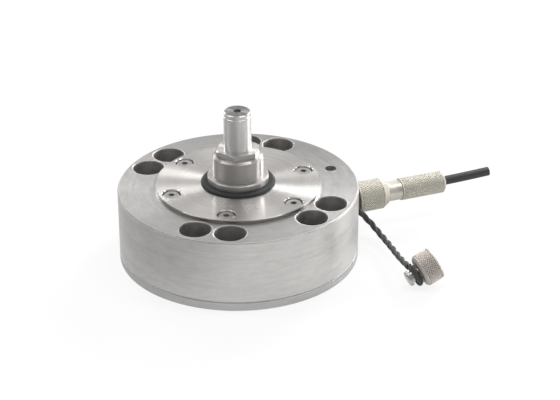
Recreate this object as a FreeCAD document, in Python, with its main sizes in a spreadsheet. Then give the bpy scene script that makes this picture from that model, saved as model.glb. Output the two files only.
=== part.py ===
import FreeCAD, Part
import math
import os
import re
import Sketcher
from FreeCAD import Placement, Rotation, Vector

# Low-profile load cell with a load stem, a screw-coupled cable plug and a tethered dust cap.
# Millimetres. The origin is the centre of the underside, +Z runs up the stem, +X out along the plug.

SIZES = {
    # drum and base plate
    "drum_dia": 105.0,
    "rim_height": 32.4,
    "rim_chamfer": 0.6,
    "plate_thick": 4.0,
    "seam_chamfer": 0.3,
    # sensing web inside the drum
    "cavity_wall": 5.1,
    "ledge_width": 9.2,
    "spoke_width": 7.0,
    "cavity_height": 10.0,
    "spoke_drop": 3.7,
    "spoke_fillet": 1.6,
    "hub_dia": 26.5,
    "hub_rise": 4.2,
    "hub_lift": 3.0,
    "hub_chamfer": 0.4,
    # mounting holes
    "bolt_edge": 8.9,
    "bolt_pair_angle": 55.0,
    "bolt_pair_land": 1.64,
    "bolt_hole": 9.0,
    "bolt_head_bore": 13.5,
    "bolt_head_depth": 9.0,
    "bolt_chamfer": 0.3,
    # cover, gasket and shaft seal
    "cover_land": 0.7,
    "cover_proud": 1.8,
    "cover_chamfer": 0.3,
    "cover_recess": 3.7,
    "spigot_step": 0.95,
    "spigot_clear": 0.1,
    "gasket_thick": 0.5,
    "gasket_inset": 0.3,
    "seal_width": 2.95,
    "seal_lip_clear": 0.75,
    "seal_lip_thick": 1.5,
    "seal_rise": 1.4,
    "seal_round": 1.3,
    # small screws
    "screw_dia": 4.0,
    "screw_clear": 0.5,
    "thread_clear": 0.05,
    "tap_depth": 8.0,
    "screw_bite": 7.0,
    "low_head_dia": 7.0,
    "low_head_height": 2.8,
    "low_head_clear": 0.5,
    "low_head_chamfer": 0.3,
    "head_sink": 0.5,
    "key_across": 2.5,
    "key_depth": 1.6,
    "plate_screw_edge": 6.0,
    "flush_head_dia": 7.6,
    "flush_head_land": 0.3,
    "flush_sink": 0.2,
    # sealing ring under the drum
    "ring_seal_edge": 2.4,
    "ring_seal_width": 1.8,
    "ring_seal_depth": 1.2,
    # load stem
    "boss_dia": 22.0,
    "boss_height": 9.9,
    "boss_chamfer": 0.9,
    "hex_cut": 2.5,
    "hex_height": 2.3,
    "hex_crown_cut": 1.8,
    "shaft_dia": 12.0,
    "shaft_length": 17.6,
    "tip_step": 0.2,
    "tip_length": 2.3,
    "tip_chamfer": 0.5,
    "tip_hole_dia": 3.3,
    "tip_hole_depth": 10.0,
    "tang_dia": 14.0,
    "tang_length": 20.0,
    "tang_chamfer": 1.0,
    # strain gauges and terminal board
    "gauge_end_gap": 1.3,
    "gauge_height": 7.0,
    "gauge_thick": 0.2,
    "board_clear": 0.5,
    "board_width": 6.5,
    "board_thick": 1.2,
    "board_gap": 14.0,
    "chip_length": 3.0,
    "chip_width": 1.6,
    "chip_height": 0.8,
    # receptacle in the side of the drum
    "plug_height": 15.4,
    "spot_clear": 0.5,
    "spot_depth": 2.0,
    "flange_dia": 14.0,
    "flange_thick": 2.0,
    "flange_chamfer": 0.3,
    "shank_dia": 10.0,
    "shank_clear": 0.05,
    "shank_length": 11.5,
    "lead_bore_run": 1.0,
    "neck_relie": 0.5,
    "neck_length": 3.0,
    "thread_dia": 10.0,
    "thread_length": 11.3,
    "thread_chamfer": 0.4,
    "cup_dia": 7.4,
    "cup_depth": 8.6,
    "base_insert_length": 8.0,
    "tail_bore": 6.0,
    "face_seal_width": 0.9,
    "face_seal_depth": 0.7,
    "pin_circle": 3.8,
    "pin_dia": 1.0,
    "pin_reach": 5.8,
    "pin_tail_dia": 1.6,
    "pin_tail_length": 4.5,
    "lock_inset": 8.85,
    "lock_dia": 4.9,
    "lock_length": 6.0,
    "lock_key_across": 2.5,
    "lock_key_depth": 2.5,
    # cable plug
    "coupling_wall": 1.8,
    "coupling_crown_step": 1.7,
    "coupling_crown_length": 2.8,
    "coupling_lip": 1.5,
    "coupling_chamfer": 0.4,
    "run_clear": 0.2,
    "end_clear": 0.3,
    "barrel_clear": 0.1,
    "plug_flange_thick": 1.7,
    "plug_neck_dia": 9.0,
    "plug_neck_length": 8.6,
    "plug_flat_cut": 0.4,
    "plug_flat_length": 5.0,
    "plug_insert_wall": 0.2,
    "plug_insert_length": 11.0,
    "plug_tail_step": 0.4,
    "socket_dia": 1.6,
    "socket_bore_clear": 0.05,
    "socket_length": 14.0,
    "spigot_thread_dia": 8.6,
    "spigot_thread_length": 8.4,
    "back_wall": 0.75,
    "back_length": 21.4,
    "back_chamfer": 0.7,
    "back_bore_clear": 0.1,
    "back_floor": 7.0,
    "back_cone": 3.4,
    "back_mouth_clear": 0.2,
    "grommet_length": 5.0,
    "clamp_slit": 0.6,
    # cable and lanyard
    "cable_dia": 4.1,
    "lead_dia": 0.9,
    "lanyard_dia": 2.8,
    "neck_eye_clear": 0.5,
    "neck_eye_gap": 0.1,
    "cap_eye_clear": 0.2,
    "cap_eye_step": 2.5,
    # dust cap
    "cap_wall": 2.0,
    "cap_length": 8.2,
    "cap_crown_step": 0.8,
    "cap_crown_length": 1.0,
    "cap_rim_chamfer": 0.4,
    "cap_floor": 2.0,
    "cap_pad_thick": 0.8,
    "cap_tilt": 24.0,
    "cap_out": 8.4,
    "cap_side": 57.2,
    "rivet_dia": 5.0,
    "rivet_gap": 4.6,
    "rivet_head_step": 0.9,
    "rivet_head_height": 1.6,
    "rivet_round": 0.8,
    # run of a cutter past the face that it leaves
    "overrun": 1.0,
}

# Sizes that follow from the ones above.
FOLLOWING = {
    # heights above the underside
    "spoke_bottom": "plate_thick + cavity_height",
    "recess_floor": "rim_height - cover_recess",
    "spoke_top": "recess_floor - spoke_drop",
    "cover_foot": "recess_floor + gasket_thick",
    "cover_top": "rim_height + cover_proud",
    "head_seat": "cover_top - head_sink - low_head_height",
    "hub_bottom": "plate_thick + hub_lift",
    "hub_top": "cover_top + hub_rise",
    "boss_top": "hub_top + boss_height",
    "hex_top": "boss_top + hex_height",
    "shaft_top": "hex_top + shaft_length",
    "board_foot": "spoke_bottom - board_thick",
    "spoke_mid": "(spoke_top + spoke_bottom) / 2",
    "lock_foot": "plug_height + shank_dia / 2",
    # rings and circles round the stem
    "bolt_circle": "drum_dia - 2 * bolt_edge",
    "plate_screw_circle": "drum_dia - 2 * plate_screw_edge",
    "cavity_dia": "bolt_circle - bolt_hole - 2 * cavity_wall",
    "ring_seal_dia": "cavity_dia + 2 * ring_seal_edge",
    "cover_dia": "bolt_circle - bolt_head_bore - 2 * cover_land",
    "spigot_dia": "cover_dia - 2 * spigot_step",
    "ledge_dia": "spigot_dia - 2 * ledge_width",
    "cover_screw_circle": "spigot_dia - ledge_width",
    "low_head_bore": "low_head_dia + 2 * low_head_clear",
    "seal_seat_dia": "hub_dia + 2 * seal_width",
    "seal_lip_dia": "hub_dia + 2 * seal_lip_clear",
    "hex_across": "boss_dia - 2 * hex_cut",
    "hex_crown_dia": "boss_dia - 2 * hex_crown_cut",
    "tip_dia": "shaft_dia - 2 * tip_step",
    "spoke_length": "(ledge_dia - hub_dia) / 2",
    "gauge_length": "spoke_length - 2 * spoke_fillet - 2 * gauge_end_gap",
    "board_outer_dia": "cavity_dia - 2 * board_clear",
    "board_inner_dia": "board_outer_dia - 2 * board_width",
    # receptacle and plug, round their own axis
    "spot_dia": "flange_dia + 2 * spot_clear",
    "face_seal_dia": "(shank_dia + flange_dia) / 2",
    "neck_dia": "thread_dia - 2 * neck_relie",
    "coupling_bore": "thread_dia + 2 * run_clear",
    "coupling_dia": "coupling_bore + 2 * coupling_wall",
    "coupling_crown_dia": "coupling_dia - 2 * coupling_crown_step",
    "barrel_dia": "cup_dia - 2 * barrel_clear",
    "plug_flange_dia": "thread_dia - 2 * thread_clear",
    "plug_flat_across": "plug_neck_dia - 2 * plug_flat_cut",
    "plug_insert_dia": "pin_circle + socket_dia + 2 * plug_insert_wall",
    "plug_tail_bore": "plug_insert_dia + 2 * plug_tail_step",
    "back_dia": "spigot_thread_dia + 2 * back_wall",
    # distances from the drum's axis out along the plug
    "seat": "drum_dia / 2 - spot_depth",
    "lock_offset": "drum_dia / 2 - lock_inset",
    "lead_bore_end": "cavity_dia / 2 - lead_bore_run",
    "flange_face": "seat + flange_thick",
    "thread_from": "flange_face + neck_length",
    "thread_end": "thread_from + thread_length",
    "cup_floor": "thread_end - cup_depth",
    "insert_seat": "cup_floor - base_insert_length",
    "shank_end": "seat - shank_length",
    "pin_tip": "cup_floor + pin_reach",
    "barrel_tip": "cup_floor + end_clear",
    "plug_flange": "thread_end + end_clear",
    "plug_neck": "plug_flange + plug_flange_thick",
    "lip_from": "plug_neck + end_clear",
    "coupling_from": "thread_from + end_clear",
    "coupling_end": "lip_from + coupling_lip",
    "back_from": "plug_neck + plug_neck_length",
    "back_end": "back_from + back_length",
    "spigot_end": "back_from + spigot_thread_length",
    "socket_from": "barrel_tip + end_clear",
    "socket_end": "socket_from + socket_length",
    "plug_insert_end": "socket_from + plug_insert_length",
    "cone_from": "back_end - back_floor",
    "cone_end": "cone_from + back_cone",
    "neck_eye_place": "thread_from - neck_eye_gap - lanyard_dia / 2",
    # lanyard eyes and dust cap
    "neck_eye_bore": "neck_dia + 2 * neck_eye_clear",
    "cap_eye_bore": "rivet_dia + 2 * cap_eye_clear",
    "cap_bore": "thread_dia + 2 * run_clear",
    "cap_dia": "cap_bore + 2 * cap_wall",
    "cap_crown_dia": "cap_dia - 2 * cap_crown_step",
    "cap_place": "drum_dia / 2 + cap_out",
    "cap_lift": "cap_dia / 2 * cos(cap_tilt * 1deg) - cap_crown_length * sin(cap_tilt * 1deg)",
    "rivet_head_dia": "rivet_dia + 2 * rivet_head_step",
}

COVER_SCREWS = 6
PLATE_SCREWS = 6
PLATE_SCREW_ANGLE = 30
SPOKES = 4
CHIPS = 6
CHIP_ANGLE = 55
CHIP_SPAN_ANGLE = 250
CONTACTS = 4
CLAMP_SLITS = 4

# Runs of the cords. The two ends of each lie inside what holds it.
# Cable, from the rear nut's mouth.
CABLE_RUN = [(-18.4, 0, 0), (5.1, 0, 0), (23.3, 0, 0.8)]
# Lanyard, from the middle of its eye on the receptacle's neck.
LANYARD_RUN = [
    (0, -6.3, -2.6),
    (3.8, -9.4, -6.6),
    (5.6, -19.0, -9.6),
    (5.3, -32.0, -9.7),
    (4.2, -43.5, -9.2),
    (3.3, -54.2, -7.5),
]
# Inner leads: out of the receptacle from its seat on the plug's axis, then up to the board's underside.
LEAD_RUNS = [
    (
        [(-4.9, 1.34, 1.34), (-10.5, 1.4, 0.5), (-16.0, 2.4, -2.2)],
        [(-20.7, 8.2, -1.9), (-23.5, 13.2, -0.5)],
    ),
    (
        [(-4.9, 1.34, -1.34), (-10.5, 1.4, -1.8), (-16.5, 1.9, -3.2)],
        [(-21.1, 8.0, -3.6), (-27.7, 19.6, -0.5)],
    ),
]
CORE_PINCH = 0.62
CORE_GAP = 0.1

doc = FreeCAD.newDocument("load_cell")
sheet = doc.addObject("Spreadsheet::Sheet", "Sizes")
for row, (alias, size) in enumerate(SIZES.items(), start=1):
    sheet.set(f"A{row}", alias)
    sheet.set(f"B{row}", str(size))
    sheet.setAlias(f"B{row}", alias)
worked = doc.addObject("Spreadsheet::Sheet", "Worked")
doc.recompute()
nodes = []


def value(text):
    """Number that an expression over the sizes works out to."""
    worked.set("A1", f"={bound(text)}")
    worked.recompute()
    return float(worked.get("A1"))


def bound(text):
    """Expression spelled out in the sheet's own sizes, ready to bind."""
    return re.sub(r"[a-z][a-z_]*", lambda found: spelled(found[0]), text)


def spelled(word):
    if word in FOLLOWING:
        return f"({bound(FOLLOWING[word])})"
    return f"Sizes.{word}" if word in SIZES else word


def node(label):
    """Empty body that becomes one named piece."""
    body = doc.addObject("PartDesign::Body", label)
    body.Label = label
    body.AllowCompound = True
    nodes.append(body)
    return body


def origin(body, role):
    return next(item for item in body.Origin.OriginFeatures if item.Role == role)


def sketch_on(body, plane, offset="0"):
    """Sketch on one of the body's own planes, moved along the plane's normal."""
    sketch = body.newObject("Sketcher::SketchObject", f"{body.Name}_sketch")
    sketch.AttachmentSupport = (origin(body, plane), [""])
    sketch.MapMode = "FlatFace"
    if offset != "0":
        sketch.setExpression("AttachmentOffset.Base.z", bound(offset))
    return sketch


def hold(sketch, geometry, point, across, up):
    """Pins a sketch point at a pair of expressions measured from the sketch's origin."""
    for kind, axis, text in (("DistanceX", -2, across), ("DistanceY", -1, up)):
        if abs(value(text)) < 1e-9:
            sketch.addConstraint(Sketcher.Constraint("PointOnObject", geometry, point, axis))
        else:
            rule = sketch.addConstraint(Sketcher.Constraint(kind, -1, 1, geometry, point, value(text)))
            sketch.setExpression(f"Constraints[{rule}]", bound(text))


def add_loop(sketch, corners):
    """Closed outline of straight edges through pairs of expressions."""
    places = [Vector(value(across), value(up), 0) for across, up in corners]
    first = sketch.GeometryCount
    count = len(places)
    for i in range(count):
        sketch.addGeometry(Part.LineSegment(places[i], places[(i + 1) % count]), False)
    for i in range(count):
        sketch.addConstraint(Sketcher.Constraint("Coincident", first + i, 2, first + (i + 1) % count, 1))
    for i, (across, up) in enumerate(corners):
        hold(sketch, first + i, 1, across, up)


def add_circle(sketch, across, up, diameter):
    place = Vector(value(across), value(up), 0)
    index = sketch.addGeometry(Part.Circle(place, Vector(0, 0, 1), value(diameter) / 2), False)
    rule = sketch.addConstraint(Sketcher.Constraint("Diameter", index, value(diameter)))
    sketch.setExpression(f"Constraints[{rule}]", bound(diameter))
    hold(sketch, index, 3, across, up)


def turn(body, corners, at="0"):
    """Turns a half section given as radius and height about an upright axis."""
    sketch = sketch_on(body, "XZ_Plane")
    axis = "V_Axis"
    if at != "0":
        foot = Vector(value(at), 0, 0)
        line = sketch.addGeometry(Part.LineSegment(foot, foot + Vector(0, 1, 0)), True)
        sketch.addConstraint(Sketcher.Constraint("Vertical", line))
        sketch.addConstraint(Sketcher.Constraint("DistanceY", line, 1, line, 2, 1))
        hold(sketch, line, 1, at, "0")
        axis = "Axis0"
    add_loop(sketch, [(f"{at} + {radius}", height) for radius, height in corners])
    feature = body.newObject("PartDesign::Revolution", f"{body.Name}_revolution")
    feature.Profile = sketch
    feature.ReferenceAxis = (sketch, [axis])
    doc.recompute()
    return feature


def pad(body, loops, height, length):
    """Raises outlines in the ground plan from one height by a length."""
    sketch = sketch_on(body, "XY_Plane", height)
    for corners in loops:
        add_loop(sketch, corners)
    feature = body.newObject("PartDesign::Pad", f"{body.Name}_pad")
    feature.Profile = sketch
    feature.setExpression("Length", bound(length))
    doc.recompute()
    return feature


def sink(body, sketch, depth):
    """Cuts a sketch down into the body, against its normal."""
    feature = body.newObject("PartDesign::Pocket", f"{body.Name}_pocket")
    feature.Profile = sketch
    feature.setExpression("Length", bound(depth))
    doc.recompute()
    return feature


def drill(body, height, places, diameter, depth, plane="XY_Plane"):
    """Round holes of one size sunk from one height, or inward from a side plane."""
    sketch = sketch_on(body, plane, height)
    for across, up in places:
        add_circle(sketch, across, up, diameter)
    return sink(body, sketch, depth)


def key_socket(body, height, across, depth, at="0"):
    """Hexagon socket for a key."""
    sketch = sketch_on(body, "XY_Plane", height)
    corners = hexagon(across)
    add_loop(sketch, [(f"{at} + {x}", y) for x, y in corners])
    return sink(body, sketch, depth)


def hexagon(across):
    """Corners of a hexagon of one width across flats, one corner on the first axis."""
    reach = f"{across} / sqrt(3)"
    return [(f"{reach} * cos({60 * i}deg)", f"{reach} * sin({60 * i}deg)") for i in range(6)]


def rectangle(left, right, front, back):
    return [(left, front), (right, front), (right, back), (left, back)]


def around(body, features, count, span=360):
    """Repeats features evenly round the body's upright axis."""
    pattern = body.newObject("PartDesign::PolarPattern", f"{body.Name}_pattern")
    pattern.Originals = features
    pattern.Axis = (origin(body, "Z_Axis"), [""])
    pattern.Angle = span
    pattern.Occurrences = count
    body.Tip = pattern
    doc.recompute()
    return pattern


def rims(shape, radius, height):
    """Names of a shape's circles of one radius at one height."""
    size = value(radius)
    level = value(height)
    names = []
    for i, edge in enumerate(shape.Edges, start=1):
        curve = edge.Curve
        if isinstance(curve, Part.Circle) and abs(curve.Radius - size) < 1e-4:
            if abs(curve.Center.z - level) < 1e-4:
                names.append(f"Edge{i}")
    return names


def dress(body, kind, edges, size):
    """Fillet or chamfer on named edges of the body's tip."""
    base = body.Tip
    feature = body.newObject(f"PartDesign::{kind}", f"{body.Name}_{kind.lower()}")
    feature.Base = (base, edges)
    feature.setExpression("Radius" if kind == "Fillet" else "Size", bound(size))
    body.Tip = feature
    doc.recompute()
    return feature


def along_plug(body):
    """Lays a piece turned about its own upright axis along the plug's axis."""
    body.Placement = Placement(Vector(0, 0, 0), Rotation(Vector(0, 1, 0), 90))
    body.setExpression("Placement.Base.z", bound("plug_height"))


def along_cap(body):
    """Lays a piece turned about its own upright axis along the dust cap's axis."""
    body.Placement = Placement(Vector(0, 0, 0), cap_rotation())
    body.setExpression("Placement.Base.x", bound("cap_place"))
    body.setExpression("Placement.Base.y", bound("-1 * cap_side"))
    body.setExpression("Placement.Base.z", bound("cap_lift"))


def cap_rotation():
    return Rotation(Vector(0, 1, 0), 90 - SIZES["cap_tilt"])


def contact_places():
    """Places of the contacts round the plug's axis, one in each quarter."""
    step = 360 / CONTACTS
    return [
        (f"pin_circle / 2 * cos({(i + 0.5) * step}deg)", f"pin_circle / 2 * sin({(i + 0.5) * step}deg)")
        for i in range(CONTACTS)
    ]


def bolt_places():
    """Places of the mounting holes: two rectangles on one circle."""
    spread = "asin((bolt_head_bore + bolt_pair_land) / bolt_circle)"
    places = []
    for way in ("-", "+"):
        across = f"bolt_circle / 2 * cos(bolt_pair_angle * 1deg {way} {spread})"
        up = f"bolt_circle / 2 * sin(bolt_pair_angle * 1deg {way} {spread})"
        for mirror_x in ("1", "-1"):
            for mirror_y in ("1", "-1"):
                places.append((f"{mirror_x} * {across}", f"{mirror_y} * {up}"))
    return places


def polar_place(circle, degrees):
    return (f"{circle} / 2 * cos({degrees}deg)", f"{circle} / 2 * sin({degrees}deg)")


def sensing_body():
    """Drum, four sensing spokes and loaded hub, machined from one blank."""
    body = node("sensing_body")
    turn(body, [
        ("cavity_dia / 2", "plate_thick"),
        ("drum_dia / 2 - seam_chamfer", "plate_thick"),
        ("drum_dia / 2", "plate_thick + seam_chamfer"),
        ("drum_dia / 2", "rim_height - rim_chamfer"),
        ("drum_dia / 2 - rim_chamfer", "rim_height"),
        ("spigot_dia / 2 + spigot_clear", "rim_height"),
        ("spigot_dia / 2 + spigot_clear", "recess_floor"),
        ("ledge_dia / 2", "recess_floor"),
        ("ledge_dia / 2", "spoke_bottom"),
        ("cavity_dia / 2", "spoke_bottom"),
    ])
    half = "spoke_width / 2"
    reach = "(ledge_dia / 2 + overrun)"
    pad(body, [[
        (reach, f"-1 * {half}"), (reach, half), (half, half), (half, reach),
        (f"-1 * {half}", reach), (f"-1 * {half}", half), (f"-1 * {reach}", half),
        (f"-1 * {reach}", f"-1 * {half}"), (f"-1 * {half}", f"-1 * {half}"),
        (f"-1 * {half}", f"-1 * {reach}"), (half, f"-1 * {reach}"), (half, f"-1 * {half}"),
    ]], "spoke_bottom", "spoke_top - spoke_bottom")
    turn(body, [
        ("0", "hub_bottom"),
        ("hub_dia / 2 - hub_chamfer", "hub_bottom"),
        ("hub_dia / 2", "hub_bottom + hub_chamfer"),
        ("hub_dia / 2", "hub_top - hub_chamfer"),
        ("hub_dia / 2 - hub_chamfer", "hub_top"),
        ("0", "hub_top"),
    ])
    corners = [
        f"Edge{i}" for i, edge in enumerate(body.Shape.Edges, start=1)
        if isinstance(edge.Curve, Part.Line)
        and abs(edge.Length - value("spoke_top - spoke_bottom")) < 1e-4
    ]
    dress(body, "Fillet", corners, "spoke_fillet")
    drill(body, "hub_top", [("0", "0")], "tang_dia", "hub_top - hub_bottom")
    drill(body, "rim_height", bolt_places(), "bolt_head_bore", "bolt_head_depth")
    drill(body, "rim_height", bolt_places(), "bolt_hole", "rim_height - plate_thick")
    dress(body, "Chamfer", rims(body.Shape, "bolt_head_bore / 2", "rim_height"), "bolt_chamfer")
    first = drill(body, "recess_floor", [("cover_screw_circle / 2", "0")], "screw_dia", "tap_depth")
    around(body, [first], COVER_SCREWS)
    second = drill(body, "plate_thick + tap_depth",
                   [polar_place("plate_screw_circle", PLATE_SCREW_ANGLE)], "screw_dia", "tap_depth")
    around(body, [second], PLATE_SCREWS)
    drill(body, "drum_dia / 2 + overrun", [("0", "plug_height")], "spot_dia", "spot_depth + overrun",
          "YZ_Plane")
    drill(body, "drum_dia / 2", [("0", "plug_height")], "shank_dia + 2 * shank_clear",
          "drum_dia / 2 - lead_bore_end", "YZ_Plane")
    drill(body, "rim_height", [("lock_offset", "0")], "lock_dia", "rim_height - plug_height")


def base_plate():
    """Bottom plate that closes the cavity, with the mounting and closing screw holes."""
    body = node("base_plate")
    inner = "ring_seal_dia / 2 - ring_seal_width / 2"
    outer = "ring_seal_dia / 2 + ring_seal_width / 2"
    turn(body, [
        ("0", "0"),
        ("drum_dia / 2 - seam_chamfer", "0"),
        ("drum_dia / 2", "seam_chamfer"),
        ("drum_dia / 2", "plate_thick - seam_chamfer"),
        ("drum_dia / 2 - seam_chamfer", "plate_thick"),
        (outer, "plate_thick"),
        (outer, "plate_thick - ring_seal_depth"),
        (inner, "plate_thick - ring_seal_depth"),
        (inner, "plate_thick"),
        ("0", "plate_thick"),
    ])
    drill(body, "plate_thick", bolt_places(), "bolt_hole", "plate_thick")
    clear = "screw_dia + screw_clear"
    through = drill(body, "plate_thick", [polar_place("plate_screw_circle", PLATE_SCREW_ANGLE)],
                    clear, "plate_thick")
    around(body, [through], PLATE_SCREWS)
    mouths = rims(body.Shape, f"({clear}) / 2", "0")
    dress(body, "Chamfer", mouths, f"flush_head_dia / 2 + flush_sink + flush_head_land - ({clear}) / 2")


def ring_seal():
    """Squeezed sealing ring between the base plate and the drum."""
    body = node("base_seal")
    turn(body, [
        ("ring_seal_dia / 2 - ring_seal_width / 2", "plate_thick - ring_seal_depth"),
        ("ring_seal_dia / 2 + ring_seal_width / 2", "plate_thick - ring_seal_depth"),
        ("ring_seal_dia / 2 + ring_seal_width / 2", "plate_thick"),
        ("ring_seal_dia / 2 - ring_seal_width / 2", "plate_thick"),
    ])


def plate_screws():
    """Flush screws that hold the base plate to the drum."""
    body = node("base_screws")
    shank = "screw_dia / 2 - thread_clear"
    head = "flush_head_dia / 2"
    cone = f"flush_sink + flush_head_land + {head} - ({shank})"
    top = "plate_thick + screw_bite"
    turn(body, [
        ("0", "flush_sink"),
        (head, "flush_sink"),
        (head, "flush_sink + flush_head_land"),
        (shank, cone),
        (shank, top),
        ("0", top),
    ], at="plate_screw_circle / 2")
    place = "plate_screw_circle / 2"
    socket = key_socket(body, "flush_sink + key_depth", "key_across", "key_depth", place)
    around(body, [body.Group[1], socket], PLATE_SCREWS)
    body.Placement = Placement(Vector(0, 0, 0), Rotation(Vector(0, 0, 1), PLATE_SCREW_ANGLE))


def top_cover():
    """Cover ring round the stem, spigoted into the drum."""
    body = node("top_cover")
    turn(body, [
        ("seal_lip_dia / 2", "cover_foot"),
        ("spigot_dia / 2", "cover_foot"),
        ("spigot_dia / 2", "rim_height"),
        ("cover_dia / 2", "rim_height"),
        ("cover_dia / 2", "cover_top - cover_chamfer"),
        ("cover_dia / 2 - cover_chamfer", "cover_top"),
        ("seal_seat_dia / 2", "cover_top"),
        ("seal_seat_dia / 2", "cover_foot + seal_lip_thick"),
        ("seal_lip_dia / 2", "cover_foot + seal_lip_thick"),
    ])
    place = [("cover_screw_circle / 2", "0")]
    through = drill(body, "cover_top", place, "screw_dia + screw_clear", "cover_top - cover_foot")
    around(body, [through], COVER_SCREWS)
    bore = drill(body, "cover_top", place, "low_head_bore", "head_sink + low_head_height")
    around(body, [bore], COVER_SCREWS)
    dress(body, "Chamfer", rims(body.Shape, "low_head_bore / 2", "cover_top"), "cover_chamfer")


def cover_gasket():
    """Flat gasket under the cover, holed for its screws."""
    body = node("cover_gasket")
    turn(body, [
        ("ledge_dia / 2 + gasket_inset", "recess_floor"),
        ("spigot_dia / 2 - gasket_inset", "recess_floor"),
        ("spigot_dia / 2 - gasket_inset", "cover_foot"),
        ("ledge_dia / 2 + gasket_inset", "cover_foot"),
    ])
    place = [("cover_screw_circle / 2", "0")]
    hole = drill(body, "cover_foot", place, "screw_dia + screw_clear", "gasket_thick")
    around(body, [hole], COVER_SCREWS)


def cover_screws():
    """Low-head socket screws of the cover."""
    body = node("cover_screws")
    head_top = "head_seat + low_head_height"
    shank = "screw_dia / 2 - thread_clear"
    foot = "recess_floor - screw_bite"
    turn(body, [
        ("0", foot),
        (shank, foot),
        (shank, "head_seat"),
        ("low_head_dia / 2", "head_seat"),
        ("low_head_dia / 2", f"{head_top} - low_head_chamfer"),
        ("low_head_dia / 2 - low_head_chamfer", head_top),
        ("0", head_top),
    ], at="cover_screw_circle / 2")
    socket = key_socket(body, head_top, "key_across", "key_depth", "cover_screw_circle / 2")
    around(body, [body.Group[1], socket], COVER_SCREWS)


def stem_seal():
    """Rubber ring between the cover and the moving hub, with a rounded top."""
    body = node("stem_seal")
    foot = "cover_foot + seal_lip_thick"
    top = "cover_top + seal_rise"
    turn(body, [
        ("hub_dia / 2", foot),
        ("seal_seat_dia / 2", foot),
        ("seal_seat_dia / 2", top),
        ("hub_dia / 2", top),
    ])
    dress(body, "Fillet", rims(body.Shape, "seal_seat_dia / 2", top), "seal_round")


def load_stem():
    """Turned stem with a spanner hexagon, screwed into the hub."""
    body = node("load_stem")
    tang = "tang_dia / 2 - thread_clear"
    tang_foot = "hub_top - tang_length"
    turn(body, [
        ("0", tang_foot),
        (f"{tang} - tang_chamfer", tang_foot),
        (tang, f"{tang_foot} + tang_chamfer"),
        (tang, "hub_top"),
        ("boss_dia / 2", "hub_top"),
        ("boss_dia / 2", "hex_top - (boss_dia - hex_crown_dia) / 2 * tan(30deg)"),
        ("hex_crown_dia / 2", "hex_top"),
        ("shaft_dia / 2", "hex_top"),
        ("shaft_dia / 2", "shaft_top - tip_length"),
        ("tip_dia / 2", "shaft_top - tip_length + (shaft_dia - tip_dia) / 2"),
        ("tip_dia / 2", "shaft_top - tip_chamfer"),
        ("tip_dia / 2 - tip_chamfer", "shaft_top"),
        ("0", "shaft_top"),
    ])
    flats = sketch_on(body, "XY_Plane", "hex_top")
    add_circle(flats, "0", "0", "boss_dia + 2 * overrun")
    add_loop(flats, hexagon("hex_across"))
    sink(body, flats, "hex_top - boss_top")
    dress(body, "Chamfer", rims(body.Shape, "boss_dia / 2", "boss_top"), "boss_chamfer")
    drill(body, "shaft_top", [("0", "0")], "tip_hole_dia", "tip_hole_depth")


def strain_gauges():
    """Foil gauges bonded to both sides of each spoke."""
    body = node("strain_gauges")
    middle = "(hub_dia + ledge_dia) / 4"
    left = f"{middle} - gauge_length / 2"
    right = f"{middle} + gauge_length / 2"
    face = "spoke_width / 2"
    skin = "spoke_width / 2 + gauge_thick"
    pair = pad(body, [
        rectangle(left, right, face, skin),
        rectangle(left, right, f"-1 * ({skin})", f"-1 * {face}"),
    ], "spoke_mid - gauge_height / 2", "gauge_height")
    around(body, [pair], SPOKES)


def bridge_board():
    """Ring-shaped terminal board bonded under the drum's ledge, open toward the receptacle."""
    body = node("bridge_board")
    turn(body, [
        ("board_inner_dia / 2", "board_foot"),
        ("board_outer_dia / 2", "board_foot"),
        ("board_outer_dia / 2", "spoke_bottom"),
        ("board_inner_dia / 2", "spoke_bottom"),
    ])
    sketch = sketch_on(body, "XY_Plane", "spoke_bottom")
    add_loop(sketch, rectangle("0", "board_outer_dia", "-1 * board_gap / 2", "board_gap / 2"))
    sink(body, sketch, "board_thick")


def bridge_resistors():
    """Balancing resistors soldered under the terminal board."""
    body = node("bridge_resistors")
    middle = "(board_inner_dia + board_outer_dia) / 4"
    left = f"{middle} - chip_width / 2"
    right = f"{middle} + chip_width / 2"
    outline = rectangle(left, right, "-1 * chip_length / 2", "chip_length / 2")
    chip = pad(body, [outline], "board_foot - chip_height", "chip_height")
    around(body, [chip], CHIPS, CHIP_SPAN_ANGLE)
    body.Placement = Placement(Vector(0, 0, 0), Rotation(Vector(0, 0, 1), CHIP_ANGLE))


def receptacle_shell():
    """Threaded socket shell clamped in the side of the drum."""
    body = node("receptacle_shell")
    inner = "face_seal_dia / 2 - face_seal_width / 2"
    outer = "face_seal_dia / 2 + face_seal_width / 2"
    turn(body, [
        ("tail_bore / 2", "shank_end"),
        ("shank_dia / 2", "shank_end"),
        ("shank_dia / 2", "seat"),
        (inner, "seat"),
        (inner, "seat + face_seal_depth"),
        (outer, "seat + face_seal_depth"),
        (outer, "seat"),
        ("flange_dia / 2", "seat"),
        ("flange_dia / 2", "flange_face - flange_chamfer"),
        ("flange_dia / 2 - flange_chamfer", "flange_face"),
        ("neck_dia / 2", "flange_face"),
        ("neck_dia / 2", "thread_from - (thread_dia - neck_dia) / 2"),
        ("thread_dia / 2", "thread_from"),
        ("thread_dia / 2", "thread_end - thread_chamfer"),
        ("thread_dia / 2 - thread_chamfer", "thread_end"),
        ("cup_dia / 2", "thread_end"),
        ("cup_dia / 2", "insert_seat"),
        ("tail_bore / 2", "insert_seat"),
    ])
    along_plug(body)


def receptacle_seal():
    """Sealing ring between the receptacle's flange and the drum."""
    body = node("receptacle_seal")
    inner = "face_seal_dia / 2 - face_seal_width / 2"
    outer = "face_seal_dia / 2 + face_seal_width / 2"
    turn(body, [
        (inner, "seat"),
        (outer, "seat"),
        (outer, "seat + face_seal_depth"),
        (inner, "seat + face_seal_depth"),
    ])
    along_plug(body)


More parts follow.
